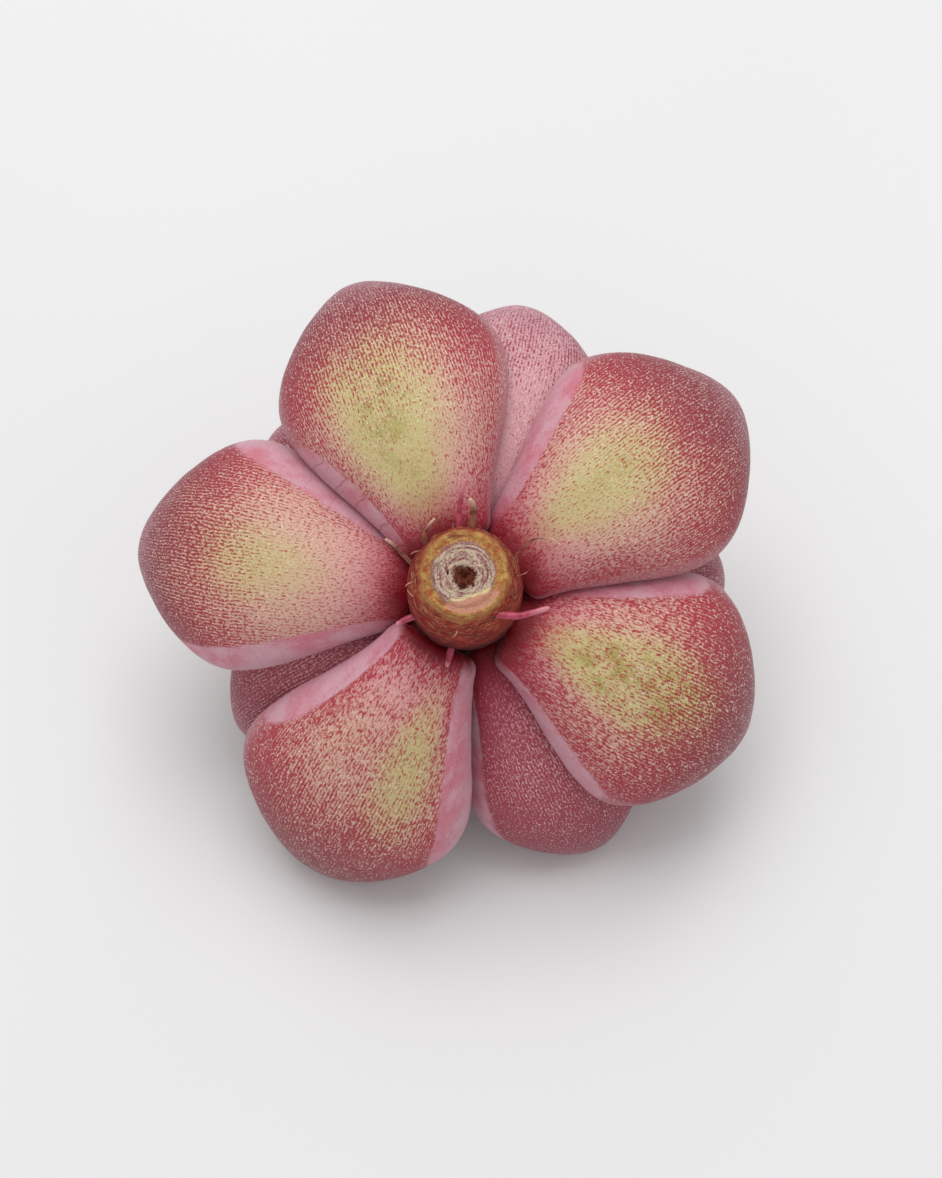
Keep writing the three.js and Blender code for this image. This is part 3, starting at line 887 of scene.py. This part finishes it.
@dataclass
class Leaf:
    """One leaf: a finer copy of its CAD skin, with the places that its finish reads."""

    node: str
    number: int
    plant: PlantFrame
    levels: int = 3
    plump: float = 0.14
    grain: float = 7.0
    uneven: float = 0.3
    tip_share: float = 1.03
    pattern_step: float = 13.7
    grid: SkinGrid = field(init=False, repr=False)
    piece: bpy.types.Object = field(init=False, repr=False)

    def build(self, finish: bpy.types.Material, slot: str) -> bpy.types.Object:
        """Makes the leaf.

        Args:
            finish: Its material.
            slot: The record's material slot.

        Returns:
            The piece.
        """
        self.piece = merged_copy(self.node)
        self.grid = SkinGrid(self.piece.data, self.plant.crown)
        self.align()
        self.mark_places()
        self.drop_diagonals()
        levels = {"levels": self.levels, "render_levels": self.levels}
        apply_modifier(self.piece, "SUBSURF", levels)
        apply_modifier(self.piece, "DISPLACE", {"strength": self.plump * MM, "mid_level": 0.0})
        roughen(self.piece, self.grain, self.uneven)
        self.rest_on_floor()
        place = read_vectors(self.piece, "leaf_place")
        marks = MARKS.get(self.node, LeafMarks())
        write_vectors(self.piece, "leaf_marks", marks.paint(place))
        self.mark_tone(marks)
        smooth_shaded(self.piece)
        self.piece.data.materials.clear()
        self.piece.data.materials.append(finish)
        hand_over(self.piece, slot, self.node)
        return self.piece

    def align(self) -> None:
        """Makes the spoke at the left margin the first, so that the underside comes next."""
        axis = np.array(self.plant.axis)
        points = points_of(self.piece) - np.array(self.plant.crown)
        out = points.mean(0)
        out -= axis * (out @ axis)
        left = np.cross(axis, out / np.linalg.norm(out))
        middle = points[self.grid.rings[len(self.grid.rings) // 2]] @ left
        wide = middle - np.roll(middle, -(len(middle) // 2))
        self.grid.turn_to(int(np.argmax(wide)))

    def mark_places(self) -> None:
        """Stores where each point lies on the leaf."""
        points = points_of(self.piece) / MM
        rings, spokes = self.grid.rings, self.grid.spokes
        place = np.zeros((len(points), 3))
        grid = np.zeros((len(points), 3))
        grid[:, 2] = self.number * self.pattern_step
        shares = np.arange(len(rings)) / (len(rings) - 1)
        shares = 0.5 * shares + 0.25 * (1 - np.cos(np.pi * shares))
        middles = np.array([points[ring].mean(0) for ring in rings])
        length = np.linalg.norm(np.diff(middles, axis=0), axis=1).sum()
        turns = 2 * np.pi * np.arange(spokes) / spokes
        quarter = spokes // 4
        widest = max(self.half_girths(points[ring])[0] for ring in rings)
        for share, ring in zip(shares, rings):
            under, top = self.half_girths(points[ring])
            steps = np.linalg.norm(points[ring] - points[np.roll(ring, -1)], axis=1)
            spread = 0.55 + 0.45 * under / widest
            place[ring, 0] = share
            place[ring, 1] = np.cos(turns)
            place[ring, 2] = np.sin(turns)
            walked = np.concatenate([[0.0], np.cumsum(steps)])[:-1]
            below = walked[: spokes // 2 + 1]
            centre = np.interp(quarter + (spokes % 4) / 4, np.arange(len(below)), below)
            across = centre - below
            grid[ring, 0] = share * length
            grid[np.array(ring)[: spokes // 2 + 1], 1] = across / spread
            above = np.array(ring)[spokes // 2 + 1 :]
            mirrored = -np.cos(np.linspace(0, np.pi, spokes // 2 + 1))[1:-1]
            grid[above, 1] = mirrored * max(under, top) / spread
        place[self.grid.tip] = (self.tip_share, 0.0, 0.0)
        grid[self.grid.tip, 0] = length * self.tip_share
        write_vectors(self.piece, "leaf_place", place)
        write_vectors(self.piece, "leaf_grid", grid)

    def mark_tone(self, marks: LeafMarks) -> None:
        """Stores the inking and reddening, and how far each point is from the stem's axis.

        Both the inking and the reddening are in part painted shade.

        Args:
            marks: The leaf's own marks.
        """
        to_plant = self.plant.matrix.inverted()
        local = points_of(self.piece) @ np.array(to_plant.to_3x3()).T
        local = local + np.array(to_plant.translation)
        out = np.hypot(local[:, 0], local[:, 1])
        ink_and_shading, stem_blush_and_shade = np.full(len(out), marks.ink_and_shading), np.full(len(out), marks.stem_blush_and_shade)
        write_vectors(self.piece, "leaf_tone", np.column_stack([ink_and_shading, stem_blush_and_shade, out]))

    @staticmethod
    def half_girths(ring: np.ndarray) -> tuple[float, float]:
        """Gives half the way across the underside of a ring, and half of that across its face.

        Args:
            ring: The places of the ring's points, in order.

        Returns:
            Both half ways, the underside first.
        """
        steps = np.linalg.norm(ring - np.roll(ring, -1, axis=0), axis=1)
        half = len(ring) // 2
        return steps[:half].sum() / 2, steps[half:].sum() / 2

    def drop_diagonals(self) -> None:
        """Joins each pair of triangles of the skin into one four-sided face."""
        rings, spokes = self.grid.rings, self.grid.spokes
        across = set()
        for low, high in zip(rings, rings[1:]):
            for j in range(spokes):
                across.add(frozenset((low[j], high[(j + 1) % spokes])))
        mesh = self.piece.data
        select_only(self.piece)
        bpy.ops.object.mode_set(mode="EDIT")
        bpy.ops.mesh.select_mode(type="EDGE")
        bpy.ops.mesh.select_all(action="DESELECT")
        bpy.ops.object.mode_set(mode="OBJECT")
        for edge in mesh.edges:
            edge.select = frozenset(edge.vertices) in across
        bpy.ops.object.mode_set(mode="EDIT")
        bpy.ops.mesh.dissolve_edges(use_verts=False)
        bpy.ops.object.mode_set(mode="OBJECT")

    def rest_on_floor(self) -> None:
        """Keeps a leaf that carries the plant from sinking into the floor."""
        points = points_of(self.piece)
        points[:, 2] = np.maximum(points[:, 2], 0.0)
        self.piece.data.vertices.foreach_set("co", points.ravel())


@dataclass
class Rosette:
    """All leaves, in whorls from the outside in."""

    plant: PlantFrame
    finishes: dict[str, tuple[bpy.types.Material, str]]

    def build(self) -> list[bpy.types.Object]:
        """Makes every leaf, and gives the pieces.

        Returns:
            The pieces.
        """
        made = []
        names = sorted(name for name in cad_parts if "_leaf_" in name)
        for number, name in enumerate(names, 1):
            finish, slot = self.finishes[name.split("_leaf_")[0]]
            made.append(Leaf(name, number, self.plant).build(finish, slot))
        return made


# ---- Stem ---------------------------------------------------------------------------------------


@dataclass
class CutStem:
    """The short stem: bark with the scars of fallen leaves, a rim and a woody cut face.

    Heights are over the lowest leaf. The face lists the radius of each of its rings, and how far
    the ring stands over the cut. Each of the bumps is a size and a height.
    """

    plant: PlantFrame
    radius: float = 5.7
    cut_radius: float = 4.1
    length: float = 10.5
    swell: float = 4.7
    neck: float = 4.9
    lean: float = 2.3
    sides: int = 72
    scar_heights: tuple[float, ...] = (1.1, 2.5, 3.9, 5.2, 6.5, 7.7, 8.8)
    scar_depth: float = 0.11
    scar_width: float = 0.2
    groove_drop: float = 0.42
    core_rings: int = 7
    bark_rings: int = 44
    bumps: tuple[tuple[float, float], ...] = ((1.5, 0.32), (0.5, 0.14))
    rim_fade: tuple[float, float] = (0.45, 0.12)
    pit_radius: float = 3.0
    pit_depth: float = 1.5
    face: tuple[tuple[float, float], ...] = (
        (3.92, 0.02),
        (3.62, -0.06),
        (3.4, -0.2),
        (3.22, -0.16),
        (3.05, 0.0),
        (2.7, 0.06),
        (2.45, -0.04),
        (2.1, 0.05),
        (1.75, -0.05),
        (1.35, 0.06),
        (0.95, 0.0),
        (0.7, -0.12),
        (0.5, -0.45),
        (0.3, -0.85),
    )

    def radius_at(self, height: float) -> float:
        """Gives the radius of the bark at a height over the lowest leaf.

        Args:
            height: The height.

        Returns:
            The radius.
        """
        if height < 0:
            return self.neck * math.sqrt(max(0.0, 1 - (-height / self.plant.core) ** 2.2))
        if height < self.swell:
            rise = math.sin(math.pi / 2 * height / self.swell)
            return self.neck + (self.radius - self.neck) * rise
        share = min(1.0, (height - self.swell) / (self.length - self.swell))
        return self.radius - (self.radius - self.cut_radius) * share**2.4

    def middle_at(self, height: float) -> float:
        """Gives how far the stem's middle stands off the axis at a height."""
        return self.lean * min(1.0, max(0.0, height / self.length)) ** 1.5

    def ridges(self, height: float, drop: float) -> float:
        """Gives how near a height is to soft ridges that lie under the scars by a drop."""
        away = (height - scar + drop for scar in self.scar_heights)
        return sum(math.exp(-((one / self.scar_width) ** 2)) for one in away)

    def profile(self) -> list[tuple[float, float]]:
        """Gives the heights and radii of the rings, from the core up and in over the cut face.

        Returns:
            The height and radius of each ring.
        """
        rings = []
        for i in range(1, self.core_rings + 1):
            height = -self.plant.core * math.cos(i / self.core_rings * math.pi / 2)
            rings.append((height, self.radius_at(height)))
        for i in range(1, self.bark_rings):
            height = self.length * i / self.bark_rings
            scar = self.ridges(height, 0.0)
            groove = self.ridges(height, self.groove_drop)
            bark = self.radius_at(height) + self.scar_depth * (0.45 * scar - 0.55 * groove)
            rings.append((height, bark))
        rings.append((self.length - 0.02, self.cut_radius + 0.02))
        rings.extend((self.length + rise, out) for out, rise in self.face)
        return rings

    def build(self, finish: bpy.types.Material) -> bpy.types.Object:
        """Makes the stem.

        Args:
            finish: Its material.

        Returns:
            The piece.
        """
        rings = self.profile()
        height, out = rings[0]
        bpy.ops.object.select_all(action="DESELECT")
        bpy.ops.mesh.primitive_circle_add(
            vertices=self.sides, radius=out, fill_type="TRIFAN", location=(0, 0, height)
        )
        piece = bpy.context.active_object
        piece.name = "scarred_stem"
        bpy.ops.object.transform_apply(location=True, rotation=True, scale=True)
        self.raise_core(piece)
        self.extrude_rings(rings)
        apply_modifier(piece, "SUBSURF", {"levels": 1, "render_levels": 1})
        self.mark_places(piece)
        piece.data.transform(self.plant.matrix)
        for grain, depth in self.bumps:
            roughen(piece, grain, depth)
        smooth_shaded(piece)
        piece.data.materials.append(finish)
        hand_over(piece, "stem", "stem")
        return piece

    def raise_core(self, piece: bpy.types.Object) -> None:
        """Draws the middle of the first ring down to the growing point, and picks its rim.

        Args:
            piece: The stem, of one ring so far.
        """
        points = points_of(piece)
        centre = int(np.argmin(np.linalg.norm(points[:, :2], axis=1)))
        select_only(piece)
        bpy.ops.object.mode_set(mode="EDIT")
        bpy.ops.mesh.select_mode(type="VERT")
        bpy.ops.mesh.select_all(action="DESELECT")
        bpy.ops.object.mode_set(mode="OBJECT")
        piece.data.vertices[centre].select = True
        bpy.ops.object.mode_set(mode="EDIT")
        drop = -self.plant.core - points[centre][2]
        bpy.ops.transform.translate(value=(0, 0, drop))
        bpy.ops.mesh.select_all(action="SELECT")
        bpy.ops.mesh.flip_normals()
        bpy.ops.mesh.select_all(action="DESELECT")
        bpy.ops.mesh.select_mode(type="EDGE")
        bpy.ops.mesh.select_non_manifold()

    def extrude_rings(self, rings: list[tuple[float, float]]) -> None:
        """Draws the rim out ring by ring and closes it at the pith, then leaves edit mode.

        Args:
            rings: The height and radius of each ring, of which the first is there already.
        """
        for (low, before), (height, out) in zip(rings, rings[1:]):
            shift = self.middle_at(height) - self.middle_at(low)
            bpy.ops.mesh.extrude_edges_move(
                TRANSFORM_OT_translate={"value": (0, shift, height - low)}
            )
            share = out / before
            bpy.ops.transform.resize(
                value=(share, share, 1), center_override=(0, self.middle_at(height), height)
            )
        bpy.ops.mesh.merge(type="CENTER")
        bpy.ops.mesh.select_all(action="SELECT")
        bpy.ops.mesh.normals_make_consistent(inside=False)
        bpy.ops.object.mode_set(mode="OBJECT")

    def mark_places(self, piece: bpy.types.Object) -> None:
        """Stores the height, the distance from the middle, the cut face and the turn.

        Args:
            piece: The stem, still in the plant's own frame.
        """
        x, y, z = points_of(piece).T
        y = y - np.array([self.middle_at(height) for height in z])
        out = np.hypot(x, y)
        low, high = self.rim_fade
        on_cut = smoothstep(self.length - low, self.length - high, z)
        in_pit = (out < self.pit_radius) & (z > self.length - self.pit_depth)
        on_cut = np.maximum(on_cut, in_pit)
        write_vectors(piece, "stem_place", np.column_stack([z, out, on_cut]))
        safe = np.maximum(out, 1e-6)
        write_vectors(piece, "stem_turn", np.column_stack([x / safe, y / safe, 0 * x]))


# ---- Rootlets and fibres ------------------------------------------------------------------------


PLUMP = {
    "pink_root_1": 0.12,
    "pink_root_2": 0.12,
    "pink_bud_1": 0.08,
    "pink_bud_2": 0.08,
    "hair_root": -0.02,
}


@dataclass
class Rootlet:
    """One rootlet: a finer, wrinkled copy of its CAD skin."""

    node: str
    number: int
    plant: PlantFrame
    grain: float = 0.45
    wrinkle: float = 0.12
    plump: float = 0.05
    foot: float = 1.0
    foot_height: float = 7.0

    def build(self, finish: bpy.types.Material, slot: str) -> bpy.types.Object:
        """Makes the rootlet.

        Args:
            finish: Its material.
            slot: The record's material slot.

        Returns:
            The piece.
        """
        piece = merged_copy(self.node, in_quads=True)
        apply_modifier(piece, "SUBSURF", {"levels": 2, "render_levels": 2})
        self.mark_places(piece)
        self.root_in_bark(piece)
        apply_modifier(piece, "DISPLACE", {"strength": self.plump * MM, "mid_level": 0.0})
        roughen(piece, self.grain, self.wrinkle)
        smooth_shaded(piece)
        piece.data.materials.clear()
        piece.data.materials.append(finish)
        hand_over(piece, slot, self.node)
        return piece

    def root_in_bark(self, piece: bpy.types.Object) -> None:
        """Draws the foot of the rootlet in to the bark that it grows from.

        Args:
            piece: The rootlet.
        """
        points = points_of(piece)
        share = read_vectors(piece, "root_place")[:, 0]
        axis = np.array(self.plant.axis)
        away = points - np.array(self.plant.crown)
        inward = -(away - np.outer(away @ axis, axis))
        inward /= np.linalg.norm(inward, axis=1)[:, None]
        pull = smoothstep(0.4, 0.0, share)[:, None] * self.foot * MM
        piece.data.vertices.foreach_set("co", (points + inward * pull).ravel())
        piece.data.update()

    def mark_places(self, piece: bpy.types.Object) -> None:
        """Stores the share along the rootlet, from the bark to its tip.

        Args:
            piece: The rootlet.
        """
        points = points_of(piece)
        bark = np.array(self.plant.crown + self.plant.axis * self.foot_height * MM)
        away = np.linalg.norm(points - bark, axis=1)
        share = (away - away.min()) / (away.max() - away.min())
        number = np.full(len(points), float(self.number))
        write_vectors(piece, "root_place", np.column_stack([share, 0 * share, number]))


@dataclass(frozen=True)
class Strand:
    """Where one torn fibre leaves the stem: its turn, height, lean, length and own roll."""

    turn: float
    height: float
    lean: float
    length: float
    roll: float


@dataclass
class Fibres:
    """Torn fibres of bark at the rim of the stem."""

    plant: PlantFrame
    stem: CutStem
    thick: float = 0.11
    sides: int = 6
    segments: int = 6
    taper: float = 0.76
    sunk: float = 0.12
    bow: float = 18.0
    strands: tuple[Strand, ...] = (
        Strand(4, 8.6, 50, 1.7, 20),
        Strand(9, 9.2, 30, 1.3, 200),
        Strand(16, 8.4, 60, 2.1, 90),
        Strand(24, 9.0, 35, 1.2, 310),
        Strand(33, 8.2, 70, 1.4, 140),
        Strand(48, 9.3, 25, 1.0, 10),
        Strand(70, 9.0, 40, 1.1, 70),
        Strand(97, 8.8, 55, 1.4, 160),
        Strand(104, 9.3, 30, 1.0, 340),
        Strand(131, 9.2, 35, 1.2, 250),
        Strand(146, 8.2, 60, 1.5, 60),
        Strand(160, 9.0, 30, 1.3, 180),
        Strand(171, 8.3, 65, 1.6, 120),
        Strand(183, 8.9, 40, 1.5, 30),
        Strand(196, 8.0, 70, 1.2, 290),
        Strand(214, 9.1, 25, 1.1, 210),
        Strand(243, 9.2, 20, 1.0, 100),
        Strand(262, 8.7, 40, 1.2, 330),
        Strand(290, 9.2, 20, 1.0, 280),
        Strand(318, 9.0, 30, 1.1, 40),
        Strand(338, 8.8, 50, 1.3, 150),
        Strand(352, 9.1, 35, 1.5, 240),
    )

    def model(self) -> bpy.types.Object:
        """Models one fibre a millimetre long that tapers and bows, with its foot at the origin.

        Returns:
            The fibre.
        """
        bpy.ops.object.select_all(action="DESELECT")
        bpy.ops.mesh.primitive_circle_add(
            vertices=self.sides, radius=self.thick, fill_type="NGON"
        )
        made = bpy.context.active_object
        bpy.ops.object.mode_set(mode="EDIT")
        bpy.ops.mesh.select_all(action="SELECT")
        step = 1.0 / self.segments
        heading = 0.0
        x = z = 0.0
        for _ in range(self.segments):
            heading += math.radians(self.bow)
            dx, dz = math.sin(heading) * step, math.cos(heading) * step
            x, z = x + dx, z + dz
            bpy.ops.mesh.extrude_region_move(TRANSFORM_OT_translate={"value": (dx, 0, dz)})
            bpy.ops.transform.resize(value=(self.taper,) * 3, center_override=(x, 0, z))
        bpy.ops.mesh.select_all(action="SELECT")
        bpy.ops.mesh.normals_make_consistent(inside=False)
        bpy.ops.object.mode_set(mode="OBJECT")
        return made

    def build(self, finish: bpy.types.Material) -> bpy.types.Object:
        """Makes the fibres as one piece.

        Args:
            finish: Their material.

        Returns:
            The piece.
        """
        first = self.model()
        copies = []
        for strand in self.strands:
            copy = first.copy()
            copy.data = first.data.copy()
            bpy.context.scene.collection.objects.link(copy)
            copy.data.transform(self.plant.matrix @ self.placing(strand))
            copies.append(copy)
        bpy.data.objects.remove(first)
        select_only(copies[0])
        for copy in copies:
            copy.select_set(True)
        bpy.ops.object.join()
        piece = bpy.context.active_object
        piece.name = "torn_fibres"
        apply_modifier(piece, "SUBSURF", {"levels": 1, "render_levels": 1})
        points = points_of(piece)
        share = np.linalg.norm(points - points.mean(0), axis=1)
        share = (share - share.min()) / (share.max() - share.min())
        write_vectors(piece, "root_place", np.column_stack([share, share, 0 * share + 3.0]))
        smooth_shaded(piece)
        piece.data.materials.append(finish)
        hand_over(piece, "dry_root")
        return piece

    def placing(self, strand: Strand) -> Matrix:
        """Gives the matrix that sets a fibre on the bark.

        Args:
            strand: Where the fibre leaves the stem.

        Returns:
            The matrix, in the plant's own frame.
        """
        height = strand.height
        out = self.stem.radius_at(height) - self.sunk
        at = Vector((0, self.stem.middle_at(height), height))
        outward = Matrix.Rotation(math.radians(strand.turn), 4, "Z")
        tipped = Matrix.Rotation(math.radians(90 - strand.lean), 4, "Y")
        rolled = Matrix.Rotation(math.radians(strand.roll), 4, "Z")
        stretched = Matrix.Diagonal((1.0, 1.0, strand.length, 1.0))
        stretched[0][0] = stretched[1][1] = 0.5 + 0.5 * strand.length
        return (
            Matrix.Translation(at)
            @ outward
            @ Matrix.Translation((out, 0, 0))
            @ tipped
            @ rolled
            @ stretched
        )


# ---- Studio -------------------------------------------------------------------------------------


@dataclass
class Studio:
    """The floor, the soft light and the camera. The floor and the lamp are in metres and watts."""

    plant: PlantFrame
    distance: float = 290.0
    lens: float = 88.6
    aim: tuple[float, float] = (0.6, 0.8)
    floor_size: float = 6.0
    zenith: float = 0.61
    horizon: float = 0.48
    air: Colour = (1.0, 0.998, 0.995)
    lamp_at: tuple[float, float, float] = (-0.06, 0.4, 1.2)
    lamp_aim: tuple[float, float, float] = (0.0, 0.0, 0.02)
    lamp_size: float = 1.0
    lamp_power: float = 9.0

    def build(self) -> None:
        """Makes the studio."""
        self.lay_floor()
        self.light()
        self.place_camera()

    def lay_floor(self) -> None:
        """Lays the floor under the plant."""
        bpy.ops.object.select_all(action="DESELECT")
        bpy.ops.mesh.primitive_plane_add(size=self.floor_size, location=(0, 0, 0))
        floor = bpy.context.active_object
        floor.name = "studio_floor"
        floor.data.materials.append(FloorFinish().material())

    def light(self) -> None:
        """Hangs a large soft lamp over the far side, under a dome that is brightest overhead."""
        world = bpy.data.worlds.new("studio air")
        s = Shader(world)
        _, _, up = s.parts(s.value("ShaderNodeTexCoord", {}, {}, "Generated"))
        levels = {0: up, 1: 0.0, 3: self.horizon, 4: self.zenith}
        strength = s.value("ShaderNodeMapRange", {}, levels)
        sky = s.value("ShaderNodeBackground", {}, {"Color": self.air, "Strength": strength})
        s.node("ShaderNodeOutputWorld", {}, {"Surface": sky})
        bpy.context.scene.world = world
        bpy.context.scene.view_settings.view_transform = "Standard"
        self.hang_lamp()

    def hang_lamp(self) -> None:
        """Hangs a square lamp that points at the plant."""
        data = bpy.data.lights.new("key", "AREA")
        data.size = self.lamp_size
        data.energy = self.lamp_power
        lamp = bpy.data.objects.new("key", data)
        lamp.location = self.lamp_at
        lamp.rotation_mode = "QUATERNION"
        towards = Vector(self.lamp_aim) - Vector(self.lamp_at)
        lamp.rotation_quaternion = towards.to_track_quat("-Z", "Y")
        bpy.context.scene.collection.objects.link(lamp)

    def place_camera(self) -> None:
        """Looks straight down the stem."""
        axis = self.plant.axis
        right = Vector((1, 0, 0))
        up = axis.cross(right)
        data = bpy.data.cameras.new("eye")
        data.lens = self.lens
        data.sensor_width = 36.0
        data.clip_start = 0.01
        data.clip_end = 20.0
        eye = bpy.data.objects.new("eye", data)
        aim = self.plant.crown + (right * self.aim[0] + up * self.aim[1]) * MM
        eye.location = aim + axis * self.distance * MM
        eye.rotation_mode = "QUATERNION"
        eye.rotation_quaternion = Matrix((right, up, axis)).transposed().to_quaternion()
        bpy.context.scene.collection.objects.link(eye)
        bpy.context.scene.camera = eye


def main() -> None:
    """Builds the plant and the studio round the frame."""
    logging.basicConfig(level=logging.INFO, format="%(name)s %(message)s")
    plant = PlantFrame()
    outer = LeafFinish("speckled leaf skin").material()
    second = LeafFinish(
        "rosy leaf skin",
        cream=rgb(222, 168, 176),
        rose=rgb(206, 144, 158),
        foot=rgb(214, 150, 164),
        speckle=rgb(158, 22, 54),
        speckle_far=rgb(134, 30, 54),
        thin=0.43,
        thick=0.62,
        contrast=0.96,
    ).material()
    young = LeafFinish(
        "young leaf skin",
        cream=rgb(196, 184, 138),
        rose=rgb(198, 142, 140),
        foot=rgb(206, 186, 160),
        speckle=rgb(176, 84, 92),
        speckle_far=rgb(166, 84, 92),
        face=rgb(170, 168, 124),
        face_tip=rgb(188, 128, 126),
        thin=0.2,
        thick=0.46,
        contrast=0.7,
    ).material()
    finishes = {
        "outer": (outer, "leaf"),
        "second": (second, "leaf"),
        "third": (young, "leaf"),
        "fourth": (young, "young_leaf"),
        "inner": (young, "young_leaf"),
        "heart": (young, "young_leaf"),
    }
    Rosette(plant, finishes).build()
    stem = CutStem(plant)
    stem.build(StemFinish().material())
    live = RootFinish(
        "live root skin", rgb(190, 70, 96), rgb(160, 40, 66), rgb(218, 136, 148), 0.4
    ).material()
    dry = RootFinish(
        "dry root skin", rgb(160, 94, 72), rgb(104, 48, 38), rgb(222, 180, 156), 0.7
    ).material()
    roots = sorted(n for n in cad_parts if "_leaf_" not in n and n != "stem")
    for number, name in enumerate(roots, 1):
        alive = name.startswith("pink")
        finish, slot = (live, "live_root") if alive else (dry, "dry_root")
        plump = PLUMP.get(name, Rootlet.plump)
        Rootlet(name, number, plant, plump=plump).build(finish, slot)
    Fibres(plant, stem).build(dry)
    Studio(plant).build()


if __name__ == "__main__":
    main()
